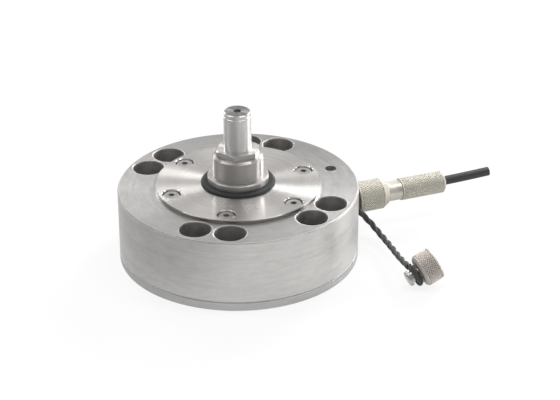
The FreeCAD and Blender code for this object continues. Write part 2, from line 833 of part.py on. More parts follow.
def receptacle_insert():
    """Insulator that carries the contact pins."""
    body = node("receptacle_insert")
    turn(body, [
        ("0", "insert_seat"),
        ("cup_dia / 2", "insert_seat"),
        ("cup_dia / 2", "cup_floor"),
        ("0", "cup_floor"),
    ])
    drill(body, "cup_floor", contact_places(), "pin_dia", "base_insert_length")
    along_plug(body)


def receptacle_pins():
    """Contact pins with solder tails."""
    body = node("receptacle_pins")
    turn(body, [
        ("0", "insert_seat - pin_tail_length"),
        ("pin_tail_dia / 2", "insert_seat - pin_tail_length"),
        ("pin_tail_dia / 2", "insert_seat"),
        ("pin_dia / 2", "insert_seat"),
        ("pin_dia / 2", "pin_tip - pin_dia / 4"),
        ("pin_dia / 4", "pin_tip"),
        ("0", "pin_tip"),
    ], at="pin_circle / 2")
    around(body, [body.Group[1]], CONTACTS)
    along_plug(body)
    body.Placement.Rotation = body.Placement.Rotation * Rotation(Vector(0, 0, 1), 180 / CONTACTS)


def lock_screw():
    """Grub screw that locks the receptacle from above."""
    body = node("lock_screw")
    top = "lock_foot + lock_length"
    radius = "lock_dia / 2 - thread_clear"
    turn(body, [
        ("0", "lock_foot"),
        (f"{radius} - rim_chamfer", "lock_foot"),
        (radius, "lock_foot + rim_chamfer"),
        (radius, top),
        ("0", top),
    ])
    key_socket(body, top, "lock_key_across", "lock_key_depth")
    body.setExpression("Placement.Base.x", bound("lock_offset"))


def coupling_nut():
    """Captive nut that screws the plug to the receptacle."""
    body = node("coupling_nut")
    bore = "coupling_bore / 2"
    turn(body, [
        (bore, "coupling_from + coupling_chamfer"),
        (f"{bore} + coupling_chamfer", "coupling_from"),
        ("coupling_dia / 2 - coupling_chamfer", "coupling_from"),
        ("coupling_dia / 2", "coupling_from + coupling_chamfer"),
        ("coupling_dia / 2", "coupling_end - coupling_crown_length"),
        ("coupling_crown_dia / 2", "coupling_end"),
        ("plug_neck_dia / 2 + run_clear", "coupling_end"),
        ("plug_neck_dia / 2 + run_clear", "lip_from"),
        (bore, "lip_from"),
    ])
    along_plug(body)


def plug_body():
    """Plug shell: barrel, retaining flange, neck with spanner flats and threaded spigot."""
    body = node("plug_body")
    turn(body, [
        ("plug_insert_dia / 2", "barrel_tip"),
        ("barrel_dia / 2", "barrel_tip"),
        ("barrel_dia / 2", "plug_flange"),
        ("plug_flange_dia / 2", "plug_flange"),
        ("plug_flange_dia / 2", "plug_neck"),
        ("plug_neck_dia / 2", "plug_neck"),
        ("plug_neck_dia / 2", "back_from"),
        ("spigot_thread_dia / 2", "back_from"),
        ("spigot_thread_dia / 2", "spigot_end"),
        ("plug_tail_bore / 2", "spigot_end"),
        ("plug_tail_bore / 2", "plug_insert_end"),
        ("plug_insert_dia / 2", "plug_insert_end"),
    ])
    flats = sketch_on(body, "XY_Plane", "back_from - end_clear")
    face = "plug_flat_across / 2"
    for side in ("1", "-1"):
        add_loop(flats, [
            (f"{side} * {face}", "-1 * plug_neck_dia"), (f"{side} * plug_neck_dia", "-1 * plug_neck_dia"),
            (f"{side} * plug_neck_dia", "plug_neck_dia"), (f"{side} * {face}", "plug_neck_dia"),
        ])
    sink(body, flats, "plug_flat_length")
    along_plug(body)


def plug_insert():
    """Insulator of the plug, bored for its sockets."""
    body = node("plug_insert")
    turn(body, [
        ("0", "socket_from"),
        ("plug_insert_dia / 2", "socket_from"),
        ("plug_insert_dia / 2", "plug_insert_end"),
        ("0", "plug_insert_end"),
    ])
    drill(body, "plug_insert_end", contact_places(), "socket_dia", "plug_insert_length")
    along_plug(body)


def plug_contacts():
    """Socket contacts that take the receptacle's pins."""
    body = node("plug_contacts")
    bore = "pin_dia / 2 + socket_bore_clear"
    floor = "pin_tip + end_clear"
    cup = "socket_end - pin_tail_dia"
    turn(body, [
        (bore, "socket_from"),
        ("socket_dia / 2", "socket_from"),
        ("socket_dia / 2", "socket_end"),
        (bore, "socket_end"),
        (bore, cup),
        ("0", cup),
        ("0", floor),
        (bore, floor),
    ], at="pin_circle / 2")
    around(body, [body.Group[1]], CONTACTS)
    along_plug(body)
    body.Placement.Rotation = body.Placement.Rotation * Rotation(Vector(0, 0, 1), 180 / CONTACTS)


def back_shell():
    """Knurled rear nut that squeezes the cable clamp."""
    body = node("back_shell")
    bore = "spigot_thread_dia / 2 + back_bore_clear"
    mouth = "cable_dia / 2 + back_mouth_clear"
    turn(body, [
        (bore, "back_from"),
        ("back_dia / 2", "back_from"),
        ("back_dia / 2", "back_end - back_chamfer"),
        ("back_dia / 2 - back_chamfer", "back_end"),
        (mouth, "back_end"),
        (mouth, "cone_end"),
        (bore, "cone_from"),
    ])
    along_plug(body)


def cable_clamp():
    """Slit collet that grips the cable inside the rear nut."""
    body = node("cable_clamp")
    outer = "spigot_thread_dia / 2"
    nose = "cable_dia / 2 + back_mouth_clear"
    turn(body, [
        ("cable_dia / 2", "spigot_end"),
        (outer, "spigot_end"),
        (outer, "cone_from"),
        (nose, "cone_end - back_bore_clear"),
        ("cable_dia / 2", "cone_end - back_bore_clear"),
    ])
    sketch = sketch_on(body, "XY_Plane", "cone_end")
    add_loop(sketch, rectangle("cable_dia / 4", "back_dia", "-1 * clamp_slit / 2", "clamp_slit / 2"))
    slit = sink(body, sketch, "cone_end - spigot_end - overrun")
    around(body, [slit], CLAMP_SLITS)
    along_plug(body)


def cable_grommet():
    """Rubber bush that seals the cable inside the plug."""
    body = node("cable_grommet")
    turn(body, [
        ("cable_dia / 2", "spigot_end - grommet_length"),
        ("plug_tail_bore / 2", "spigot_end - grommet_length"),
        ("plug_tail_bore / 2", "spigot_end"),
        ("cable_dia / 2", "spigot_end"),
    ])
    along_plug(body)


def dust_cap():
    """Knurled screw cap for the receptacle, resting on its crown's edge and on the lanyard's eye."""
    body = node("dust_cap")
    turn(body, [
        ("0", "0"),
        ("cap_crown_dia / 2", "0"),
        ("cap_dia / 2", "cap_crown_length"),
        ("cap_dia / 2", "cap_length - cap_rim_chamfer"),
        ("cap_dia / 2 - cap_rim_chamfer", "cap_length"),
        ("cap_bore / 2", "cap_length"),
        ("cap_bore / 2", "cap_floor"),
        ("0", "cap_floor"),
    ])
    drill(body, "cap_floor", [("0", "0")], "rivet_dia / 2", "cap_floor")
    along_cap(body)


def cap_pad():
    """Rubber sealing pad in the bottom of the cap."""
    body = node("cap_pad")
    turn(body, [
        ("rivet_dia / 2", "cap_floor"),
        ("cap_bore / 2", "cap_floor"),
        ("cap_bore / 2", "cap_floor + cap_pad_thick"),
        ("rivet_dia / 2", "cap_floor + cap_pad_thick"),
    ])
    along_cap(body)


def cap_rivet():
    """Headed shoulder rivet that the lanyard's eye turns on."""
    body = node("cap_rivet")
    head_foot = "-1 * rivet_gap"
    head_top = "-1 * rivet_gap - rivet_head_height"
    tail = "cap_floor + cap_pad_thick"
    turn(body, [
        ("0", head_top),
        ("rivet_head_dia / 2", head_top),
        ("rivet_head_dia / 2", head_foot),
        ("rivet_dia / 2", head_foot),
        ("rivet_dia / 2", "0"),
        ("rivet_dia / 4", "0"),
        ("rivet_dia / 4", "cap_floor"),
        ("rivet_dia / 2 - thread_clear", "cap_floor"),
        ("rivet_dia / 2 - thread_clear", tail),
        ("0", tail),
    ])
    dress(body, "Fillet", rims(body.Shape, "rivet_head_dia / 2", head_top), "rivet_round")
    along_cap(body)


def rounded_path(points):
    """Straight runs through hand-placed points, joined by tangent arcs."""
    places = [Vector(*point) for point in points]
    edges = []
    start = places[0]
    for before, corner, after in zip(places, places[1:], places[2:]):
        back = (before - corner).normalize()
        ahead = (after - corner).normalize()
        half_turn = (math.pi - back.getAngle(ahead)) / 2
        trim = 0.45 * min((before - corner).Length, (after - corner).Length)
        radius = trim / math.tan(half_turn)
        centre = corner + (back + ahead).normalize() * (radius / math.cos(half_turn))
        entry = corner + back * trim
        leave = corner + ahead * trim
        middle = centre + (corner - centre).normalize() * radius
        edges.append(Part.makeLine(start, entry))
        edges.append(Part.Arc(entry, middle, leave).toShape())
        start = leave
    edges.append(Part.makeLine(start, places[-1]))
    return Part.Wire(edges)


def tube(name, points, diameter):
    """Round cord swept along a route."""
    path = doc.addObject("Part::Feature", f"{name}_path")
    path.Shape = rounded_path(points)
    ring = doc.addObject("Part::Circle", f"{name}_section")
    ring.setExpression("Radius", bound(f"{diameter} / 2"))
    along = (Vector(*points[1]) - Vector(*points[0])).normalize()
    ring.Placement = Placement(Vector(*points[0]), Rotation(Vector(0, 0, 1), along))
    sweep = doc.addObject("Part::Sweep", name)
    sweep.Sections = [ring]
    sweep.Spine = (path, [f"Edge{i + 1}" for i in range(len(path.Shape.Edges))])
    sweep.Solid = True
    sweep.Frenet = False
    doc.recompute()
    print(f"{name} is {path.Shape.Length:.1f} mm long")
    return sweep


def moved(run, place, side=1):
    """Run of points measured from a place, turned over to the other side of the plug where asked."""
    return [(place[0] + x, place[1] + side * y, place[2] + z) for x, y, z in run]


def cable_route():
    return moved(CABLE_RUN, (value("back_end"), 0, value("plug_height")))


def signal_cable():
    """Jacketed cable out of the rear nut, cut off square."""
    nodes.append(tube("signal_cable", cable_route(), "cable_dia"))


def wire_group(label, routes):
    """Thin insulated wires of one bundle, as one node."""
    group = doc.addObject("Part::Compound", label)
    group.Label = label
    group.Links = [tube(f"{label}_{i}", route, "lead_dia") for i, route in enumerate(routes)]
    doc.recompute()
    nodes.append(group)


def signal_leads():
    """Wires from the receptacle's pins to the terminal board, two on each side."""
    pins = (value("seat"), 0, value("plug_height"))
    board = (value("seat"), 0, value("board_foot"))
    routes = []
    for side in (1, -1):
        for bore_run, board_run in LEAD_RUNS:
            routes.append(moved(bore_run, pins, side) + moved(board_run, board, side))
    wire_group("signal_leads", routes)


def plug_leads():
    """Cable cores from the stripped end to the socket contacts."""
    start = value("socket_end - pin_tail_dia / 2")
    end = cable_route()[0][0] - CORE_GAP
    height = value("plug_height")
    routes = []
    for across, up in contact_places():
        x = value(across)
        y = value(up)
        routes.append([(start, y, height - x), (end, y * CORE_PINCH, height - x * CORE_PINCH)])
    wire_group("plug_leads", routes)


def eye(name, bore):
    """Round eye of the lanyard's own cord."""
    ring = doc.addObject("Part::Torus", name)
    ring.setExpression("Radius1", bound(f"({bore} + lanyard_dia) / 2"))
    ring.setExpression("Radius2", bound("lanyard_dia / 2"))
    return ring


def cap_lanyard():
    """Lanyard spliced into an eye round the receptacle's neck and an eye round the cap's rivet."""
    neck = (value("neck_eye_place"), 0, value("plug_height"))
    cord = tube("lanyard_cord", moved(LANYARD_RUN, neck), "lanyard_dia")
    neck_eye = eye("neck_eye", "neck_eye_bore")
    neck_eye.Placement.Rotation = Rotation(Vector(0, 1, 0), 90)
    neck_eye.setExpression("Placement.Base.x", bound("neck_eye_place"))
    hang = "(neck_eye_bore - neck_dia - neck_eye_gap) / 2"
    neck_eye.setExpression("Placement.Base.z", bound(f"plug_height - {hang}"))
    cap_eye = eye("cap_eye", "cap_eye_bore")
    along_cap(cap_eye)
    back = "cap_eye_step * cos(cap_tilt * 1deg)"
    down = "cap_eye_step * sin(cap_tilt * 1deg)"
    cap_eye.setExpression("Placement.Base.x", bound(f"cap_place - {back}"))
    cap_eye.setExpression("Placement.Base.z", bound(f"cap_lift - {down}"))
    lanyard = doc.addObject("Part::MultiFuse", "cap_lanyard")
    lanyard.Label = "cap_lanyard"
    lanyard.Shapes = [neck_eye, cord, cap_eye]
    doc.recompute()
    nodes.append(lanyard)


def write_parts():
    """Checks every piece and writes one file for each."""
    doc.removeObject(worked.Name)
    doc.recompute()
    os.makedirs("parts", exist_ok=True)
    for item in doc.Objects:
        if "Invalid" in item.State or "Error" in item.State:
            raise RuntimeError(f"{item.Label} did not build")
    for piece in nodes:
        if piece.Shape.isNull() or not piece.Shape.isValid():
            raise RuntimeError(f"{piece.Label} has no sound shape")
        piece.Shape.exportStep(f"parts/{piece.Label}.step")
        print(f"{piece.Label}: {len(piece.Shape.Solids)} solids, {piece.Shape.Volume:.1f} mm3")


for make in (
    sensing_body, base_plate, ring_seal, plate_screws, top_cover, cover_gasket, cover_screws,
    stem_seal, load_stem, strain_gauges, bridge_board, bridge_resistors, signal_leads,
    receptacle_shell, receptacle_seal, receptacle_insert, receptacle_pins, lock_screw,
    coupling_nut, plug_body, plug_insert, plug_contacts, plug_leads, cable_clamp, cable_grommet,
    back_shell, signal_cable, dust_cap, cap_pad, cap_rivet, cap_lanyard,
):
    make()
write_parts()
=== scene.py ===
import math

import bmesh
import bpy
from mathutils import Matrix, Vector


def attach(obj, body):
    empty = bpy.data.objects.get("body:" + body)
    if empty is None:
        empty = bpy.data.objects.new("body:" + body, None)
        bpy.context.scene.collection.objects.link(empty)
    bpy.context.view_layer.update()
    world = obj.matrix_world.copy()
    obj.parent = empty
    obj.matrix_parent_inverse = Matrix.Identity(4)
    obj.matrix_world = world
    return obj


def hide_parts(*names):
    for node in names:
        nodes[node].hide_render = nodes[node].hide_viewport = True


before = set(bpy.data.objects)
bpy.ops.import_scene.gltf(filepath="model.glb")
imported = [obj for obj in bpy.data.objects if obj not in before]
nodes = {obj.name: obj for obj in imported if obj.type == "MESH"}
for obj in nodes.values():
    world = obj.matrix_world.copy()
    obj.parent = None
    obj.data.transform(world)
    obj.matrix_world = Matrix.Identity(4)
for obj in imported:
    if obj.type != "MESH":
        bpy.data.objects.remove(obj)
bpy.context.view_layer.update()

# Millimetres in the part's frame: +Z up the stem, +X out along the plug.
MM = 0.001
DRUM_RADIUS = 52.5
RIM_HEIGHT = 32.4
RIM_CHAMFER = 0.6
PLATE_TOP = 4.0
SEAM_CHAMFER = 0.3
BOLT_NEAR = 30.829
BOLT_FAR = (18.427, 39.514)
BOLT_RADIUS = 6.75
LOCK_PLACE = 43.65
LOCK_RADIUS = 2.45
COVER_RADIUS = 36.15
COVER_TOP = 34.2
SHAFT_FOOT = 50.6
STEM_TOP = 68.2
STEM_HOLE_RADIUS = 1.65
GAUGE_OUT = 19.6
GAUGE_HEIGHT = 19.5
GRID_PITCH = 0.5
GRID_REACH = 2.4
TRACK_PITCH = 1.6
WEAVE_PITCH = 0.6
CHIP_START = math.radians(55)
CHIP_SPACING = math.radians(50)
CHIP_END = 1.05
THREAD_PITCH = 0.75
KNURL_DEPTH = 0.2
PLUG_HEIGHT = 15.4
COUPLING_PLACE = (55.8, 0, PLUG_HEIGHT)
BACK_PLACE = (77.4, 0, PLUG_HEIGHT)
CAP_PLACE = (60.9, -57.2, 6.17)
CAP_TILT = math.radians(24)
CAP_EYE_GAP = 2.0
NECK_EYE_PLACE = (54.0, 0, 14.95)
CABLE_DIA = 4.1
CABLE_ROUTE = [(80.4, 0, 15.4), (103.9, 0, 15.4), (122.1, 0, 16.2)]
CABLE_SLOPE = math.radians(2.5)
SCREEN_RADIUS = 1.4
CORE_OUT = 0.62
CORE_RADIUS = 0.44
COPPER_RADIUS = 0.24
LANYARD_ROUTE = [
    (54.0, -6.3, 12.8),
    (57.8, -9.4, 8.8),
    (59.6, -19.0, 5.8),
    (59.3, -32.0, 5.7),
    (58.2, -43.5, 6.2),
    (57.3, -54.2, 7.9),
]
STRAND_DIA = 1.3
STRAND_SIDES = 12
LAY = 16.5
EYE_POINTS = 11
EYE_STEP = 34.5

# Metres and watts, for the stage.
FLOOR_SIZE = 6
LAMP_TARGET = (0, 0, 0.03)
CAMERA_PLACE = (-0.26723, -0.72630, 0.43068)
FOCAL_LENGTH = 128.571
SENSOR_WIDTH = 36.0
NEAREST = 0.05


class Wire:
    """Output of a shader node that takes part in Python arithmetic."""

    def __init__(self, socket):
        self.socket = socket
        self.tree = socket.id_data

    def node(self, kind, settings=None, inputs=None, output=0):
        made = self.tree.nodes.new(f"ShaderNode{kind}")
        for name, value in (settings or {}).items():
            setattr(made, name, value)
        for name, value in (inputs or {}).items():
            if isinstance(value, Wire):
                self.tree.links.new(value.socket, made.inputs[name])
            else:
                made.inputs[name].default_value = value
        return Wire(made.outputs[output])

    def math(self, operation, *values):
        return self.node("Math", {"operation": operation}, dict(enumerate((self, *values))))

    def __add__(self, other):
        return self.math("ADD", other)

    def __radd__(self, other):
        return self.math("ADD", other)

    def __sub__(self, other):
        return self.math("SUBTRACT", other)

    def __rsub__(self, other):
        return self.node("Math", {"operation": "SUBTRACT"}, {0: other, 1: self})

    def __mul__(self, other):
        return self.math("MULTIPLY", other)

    def __truediv__(self, other):
        return self.math("DIVIDE", other)

    def fade(self, start, end):
        """0 before start, 1 after end, smooth between."""
        return self.node(
            "MapRange",
            {"interpolation_type": "SMOOTHSTEP"},
            {"Value": self, "From Min": start, "From Max": end},
        )

    def past(self, place, start, end):
        """Fade beside a place, with all three in millimetres."""
        return self.fade((place + start) * MM, (place + end) * MM)

    def wave(self, pitch):
        """Sine wave that repeats after a pitch in millimetres."""
        return (self * (2 * math.pi / (pitch * MM))).math("SINE")


def distance(across, up):
    return (across * across + up * up).math("SQRT")


def grey(value, warm=0.0):
    return (value * (1 + warm), value, value * (1 - warm), 1.0)


class Finish:
    """Material with its shader and the places that its patterns read."""

    def __init__(self, name, place=(0, 0, 0), turn=(0, 0, 0), source="Object"):
        self.material = bpy.data.materials.new(name)
        self.material.use_nodes = True
        self.tree = self.material.node_tree
        self.shader = self.tree.nodes["Principled BSDF"]
        self.place = Wire(self.tree.nodes.new("ShaderNodeTexCoord").outputs[source])
        if any(place) or any(turn):
            self.place = self.place.node(
                "Mapping",
                {"vector_type": "TEXTURE"},
                {"Vector": self.place, "Location": Vector(place) * MM, "Rotation": turn},
            )
        split = self.tree.nodes.new("ShaderNodeSeparateXYZ")
        self.tree.links.new(self.place.socket, split.inputs[0])
        self.x = Wire(split.outputs["X"])
        self.y = Wire(split.outputs["Y"])
        self.z = Wire(split.outputs["Z"])

    @property
    def radius(self):
        """Distance from the upright axis."""
        return distance(self.x, self.y)

    def wire(self, **inputs):
        """Joins values and links to the shader's sockets, named with underscores for spaces."""
        for name, value in inputs.items():
            socket = self.shader.inputs[name.replace("_", " ").title()]
            if isinstance(value, Wire):
                self.tree.links.new(value.socket, socket)
            else:
                socket.default_value = value
        return self

    def noise(self, scale, detail=3.0, rough=0.6):
        """Grey noise; scale is in features a metre, or across the map of a cord."""
        return self.place.node(
            "TexNoise",
            {},
            {"Vector": self.place, "Scale": scale, "Detail": detail, "Roughness": rough},
        )

    def strokes(self, fine, turns, detail):
        """Grey streaks that run round the upright axis, fine across and long the other way."""
        out = self.radius
        around = self.place.node(
            "CombineXYZ", {}, {"X": out * fine, "Y": self.z * fine, "Z": self.x / out * turns}
        )
        return self.place.node(
            "TexNoise",
            {"noise_dimensions": "4D"},
            {
                "Vector": around,
                "W": self.y / out * turns,
                "Scale": 1.0,
                "Detail": detail,
                "Roughness": 0.75,
            },
        )

    def blend(self, factor, low, high):
        """Colour between two colours."""
        return self.place.node("Mix", {"data_type": "RGBA"}, {"Factor": factor, 6: low, 7: high}, 2)

    def bump(self, height, strength, depth):
        """Surface raised by a height, with the depth of a full step in millimetres."""
        return self.place.node(
            "Bump", {}, {"Height": height, "Strength": strength, "Distance": depth * MM}
        )


# Near-white colour painted on broken edges as a highlight.
PAINTED_EDGE_HIGHLIGHT = grey(0.9, 0.02)
BROKEN_ROUGH = 0.12


def turned_steel(name, tone, warm, rough, aniso, line_depth, brushed):
    """Steel with the fine lines that a lathe leaves round the upright axis."""
    finish = Finish(name)
    lines = finish.strokes(fine=900, turns=1.4, detail=5.0)
    brush = finish.strokes(fine=560, turns=9.0, detail=3.0)
    cloud = finish.noise(55)
    wear = (lines * (0.8 - brushed) + brush * brushed + cloud * 0.2).fade(0.3, 0.7)
    low = grey(tone * (0.93 - 0.22 * brushed), warm)
    high = grey(tone * (1.05 + 0.2 * brushed), warm)
    finish.colour = finish.blend(wear, low, high)
    finish.rough = (
        rough
        + (lines - 0.5) * line_depth * 0.5
        + (brush - 0.5) * brushed * 0.35
        + (cloud - 0.5) * 0.1
    )
    finish.lines = lines
    return finish.wire(
        base_color=finish.colour,
        roughness=finish.rough,
        metallic=1.0,
        anisotropic=aniso,
        anisotropic_rotation=0.25,
        normal=finish.bump(lines, line_depth, 0.04),
    )


def drum_steel():
    """Turned drum, with painted shade in the bores and a painted highlight on the edge round holes
    and rim.
    """
    finish = turned_steel(
        "drum_steel", tone=0.6, warm=0.025, rough=0.4, aniso=0.5, line_depth=0.25, brushed=0.4
    )
    across = finish.x.math("ABSOLUTE")
    up = finish.y.math("ABSOLUTE")
    near = distance(across - BOLT_NEAR * MM, up - BOLT_NEAR * MM)
    far = distance(across - BOLT_FAR[0] * MM, up - BOLT_FAR[1] * MM)
    bolt = near.math("MINIMUM", far)
    lock = distance(finish.x - LOCK_PLACE * MM, finish.y) + (BOLT_RADIUS - LOCK_RADIUS) * MM
    rim = finish.z.past(RIM_HEIGHT, -0.4, -0.1)
    bore = (1 - bolt.math("MINIMUM", lock).past(BOLT_RADIUS, -0.15, 0.01)) * (1 - rim)
    ring = 1 - bolt.past(BOLT_RADIUS, 0.35, 0.55)
    slope = bolt.past(BOLT_RADIUS, -0.05, 0.55) * rim
    corner = finish.radius.past(DRUM_RADIUS - RIM_CHAMFER, 0, 0.05)
    # Painted highlight on the broken edges round the bores and along the drum's corner.
    broken = ring.math("MAXIMUM", corner) * rim
    # Painted shade: the bores below the rim get a near-black colour.
    dark = finish.blend(finish.noise(900), grey(0.022), grey(0.036))
    # Painted shade: the rim's top face is made a quarter darker than the side.
    steel = finish.blend(rim * 0.25, finish.colour, grey(0.05))
    bright = finish.blend(broken * 0.8, steel, PAINTED_EDGE_HIGHLIGHT)
    finish.wire(
        base_color=finish.blend(bore, bright, dark),
        roughness=finish.rough + bore * 0.25 + broken * BROKEN_ROUGH,
        metallic=1 - bore,
        normal=finish.bump(finish.lines * 0.012 + slope, strength=1.0, depth=0.45),
    )
    # Without specular, the painted shade in the bores takes no reflection.
    finish.shader.inputs["Specular IOR Level"].default_value = 0.0
    return finish.material


def plate_steel():
    """Base plate with a painted highlight on the broken edge along the seam."""
    finish = turned_steel(
        "plate_steel", tone=0.48, warm=0.01, rough=0.38, aniso=0.5, line_depth=0.25, brushed=0.4
    )
    # Painted highlight on the seam's broken edge.
    broken = finish.z.past(PLATE_TOP - SEAM_CHAMFER, 0, 0.03)
    finish.wire(
        base_color=finish.blend(broken * 0.4, finish.colour, PAINTED_EDGE_HIGHLIGHT),
        roughness=finish.rough + broken * BROKEN_ROUGH,
    )
    return finish.material


def cover_steel():
    """Face-turned cover, with painted shade on its side wall round the edge where it meets the
    drum.
    """
    finish = turned_steel(
        "cover_steel", tone=0.66, warm=0.035, rough=0.26, aniso=0.97, line_depth=0.03, brushed=0.05
    )
    # Painted shade on the cover's side wall, where it stands above the drum.
    side = finish.radius.past(COVER_RADIUS, -0.35, -0.15)
    edge = side * (1 - finish.z.past(COVER_TOP, -0.2, -0.05))
    finish.wire(base_color=finish.blend(edge * 0.6, finish.colour, grey(0.1, 0.06)))
    return finish.material


def stem_steel():
    """Turned stem with a bright ground shaft, a darker end face and painted shade in the centre
    hole.
    """
    finish = turned_steel(
        "stem_steel", tone=0.46, warm=0.035, rough=0.35, aniso=0.85, line_depth=0.05, brushed=0.05
    )
    tip = finish.z.past(STEM_TOP, -0.2, -0.05)
    # Painted shade inside the centre hole.
    hole = (1 - finish.radius.past(STEM_HOLE_RADIUS, -0.05, 0.03)) * (1 - tip)
    shaft = finish.z.past(SHAFT_FOOT, -0.2, 0.2) * (1 - tip)
    steel = finish.blend(shaft * 0.55, finish.colour, grey(0.86, 0.01))
    faced = finish.blend(tip * 0.8, steel, grey(0.24, 0.03))
    finish.wire(base_color=finish.blend(hole, faced, grey(0.12)))
    return finish.material


def screw_steel():
    """Smooth steel of small screws and the rivet."""
    finish = Finish("screw_steel")
    cloud = finish.noise(420, 4)
    finish.wire(
        base_color=finish.blend(cloud, grey(0.36, 0.02), grey(0.56, 0.02)),
        roughness=0.26 + cloud * 0.18,
        metallic=1.0,
        normal=finish.bump(finish.noise(5000, 2), 0.15, 0.03),
    )
    return finish.material


NICKEL_DULL = (0.52, 0.5, 0.42, 1)
NICKEL_BRIGHT = (0.76, 0.735, 0.685, 1)
# Painted shade for the knurl's valleys.
NICKEL_VALLEY_SHADE = (0.27, 0.25, 0.215, 1)
CAP_DULL = (0.52, 0.485, 0.445, 1)
CAP_BRIGHT = (0.74, 0.685, 0.65, 1)


def nickel_plate():
    """Satin nickel plating, a little yellow, with dull patches."""
    finish = Finish("nickel_plate")
    cloud = finish.noise(260, 4)
    finish.wire(
        base_color=finish.blend(cloud, NICKEL_DULL, NICKEL_BRIGHT),
        roughness=0.4 + cloud * 0.16,
        metallic=1.0,
        normal=finish.bump(finish.noise(3600), 0.12, 0.03),
    )
    return finish.material


def knurled_nickel(name, place, tilt, grip, bore, dull=NICKEL_DULL, bright=NICKEL_BRIGHT):
    """Nickel plating with painted shade and more roughness in the knurl's valleys, with a screw
    thread in the bore.
    """
    finish = Finish(name, place, (0, math.pi / 2 - tilt, 0))
    out = finish.radius
    valley = 1 - out.past(grip[0], 0, KNURL_DEPTH * 0.8)
    inside = 1 - out.past(bore, 0.05, 0.15)
    cloud = finish.noise(260, 4)
    thread = finish.z.wave(THREAD_PITCH) * inside
    plate = finish.blend(cloud, dull, bright)
    finish.wire(
        # Painted shade darkens the knurl's valleys.
        base_color=finish.blend(valley * 0.25, plate, NICKEL_VALLEY_SHADE),
        roughness=0.56 + cloud * 0.12 + valley * 0.1,
        metallic=1.0,
        normal=finish.bump(thread * 3 + finish.noise(3600) * 0.3, 0.5, 0.06),
    )
    return finish.material


def rubber(name, low, high, rough):
    """Dark rubber or plastic between two tones."""
    finish = Finish(name)
    cloud = finish.noise(300, 4)
    finish.wire(
        base_color=finish.blend(cloud, grey(low), grey(high)),
        roughness=rough + cloud * 0.15,
        normal=finish.bump(finish.noise(4200), 0.2, 0.06),
    )
    return finish.material


def cable_jacket():
    """Black jacket, with the screen and four cores showing where the cable is cut off."""
    finish = Finish("cable_jacket", CABLE_ROUTE[-1], (0, -CABLE_SLOPE, 0))
    cloud = finish.noise(300, 4)
    jacket = finish.blend(cloud, grey(0.02), grey(0.036))
    cut = finish.x.past(0, -0.05, -0.02)
    screen = (1 - distance(finish.y, finish.z).past(SCREEN_RADIUS, 0, 0.04)) * cut
    core_out = distance(
        finish.y.math("ABSOLUTE") - CORE_OUT * MM, finish.z.math("ABSOLUTE") - CORE_OUT * MM
    )
    core = (1 - core_out.past(CORE_RADIUS, 0, 0.04)) * cut
    copper = (1 - core_out.past(COPPER_RADIUS, 0, 0.03)) * cut
    packed = finish.blend(screen, jacket, grey(0.3))
    insulated = finish.blend(core, packed, lead_colours(finish))
    finish.wire(
        base_color=finish.blend(copper, insulated, (0.72, 0.34, 0.18, 1)),
        roughness=0.42 + cloud * 0.15,
        metallic=copper,
        normal=finish.bump(finish.noise(4200), 0.2, 0.06),
    )
    return finish.material


def lead_colours(finish):
    """Red, black, green and white insulation, one in each quarter round the cable's middle."""
    side = finish.y.past(0, -0.02, 0.02)
    upper = finish.z.past(0, -0.02, 0.02)
    left = finish.blend(upper, (0.05, 0.3, 0.09, 1), (0.5, 0.04, 0.03, 1))
    right = finish.blend(upper, grey(0.04), grey(0.7, 0.03))
    return finish.blend(side, left, right)


def lead_insulation(name, place):
    """Coloured wire insulation with a slight orange peel."""
    finish = Finish(name, place)
    cloud = finish.noise(700)
    finish.wire(
        base_color=finish.blend(cloud * 0.3, lead_colours(finish), grey(0.1)),
        roughness=0.4 + cloud * 0.2,
        normal=finish.bump(finish.noise(3000), 0.15, 0.05),
    )
    return finish.material


def gauge_film():
    """Amber film with the slanted foil grid of a shear gauge."""
    finish = Finish("gauge_film")
    out = finish.x.math("ABSOLUTE").math("MAXIMUM", finish.y.math("ABSOLUTE"))
    along = out - GAUGE_OUT * MM
    up = finish.z - GAUGE_HEIGHT * MM
    reach = along.math("ABSOLUTE").math("MAXIMUM", up.math("ABSOLUTE"))
    foil = (along + up).wave(GRID_PITCH).fade(-0.1, 0.1) * (1 - reach.past(GRID_REACH, 0, 0.05))
    amber = finish.blend(finish.noise(500), (0.55, 0.25, 0.04, 1), (0.72, 0.38, 0.09, 1))
    finish.wire(
        base_color=finish.blend(foil, amber, (0.42, 0.3, 0.24, 1)),
        roughness=0.3 + foil * 0.15,
        metallic=foil,
        normal=finish.bump(foil, 0.3, 0.02),
    )
    return finish.material


def board_laminate():
    """Green board with ring-shaped copper tracks under its lacquer and a glass weave."""
    finish = Finish("board_laminate")
    track = finish.radius.wave(TRACK_PITCH).fade(0.2, 0.4)
    weave = finish.x.wave(WEAVE_PITCH) * finish.y.wave(WEAVE_PITCH)
    mottle = weave * 0.25 + finish.noise(200) * 0.5
    lacquer = finish.blend(mottle, (0.012, 0.1, 0.04, 1), (0.03, 0.2, 0.08, 1))
    finish.wire(
        base_color=finish.blend(track * 0.6, lacquer, (0.06, 0.26, 0.08, 1)),
        roughness=0.3 + weave * 0.05,
        normal=finish.bump(track + weave * 0.15, 0.4, 0.04),
    )
    return finish.material


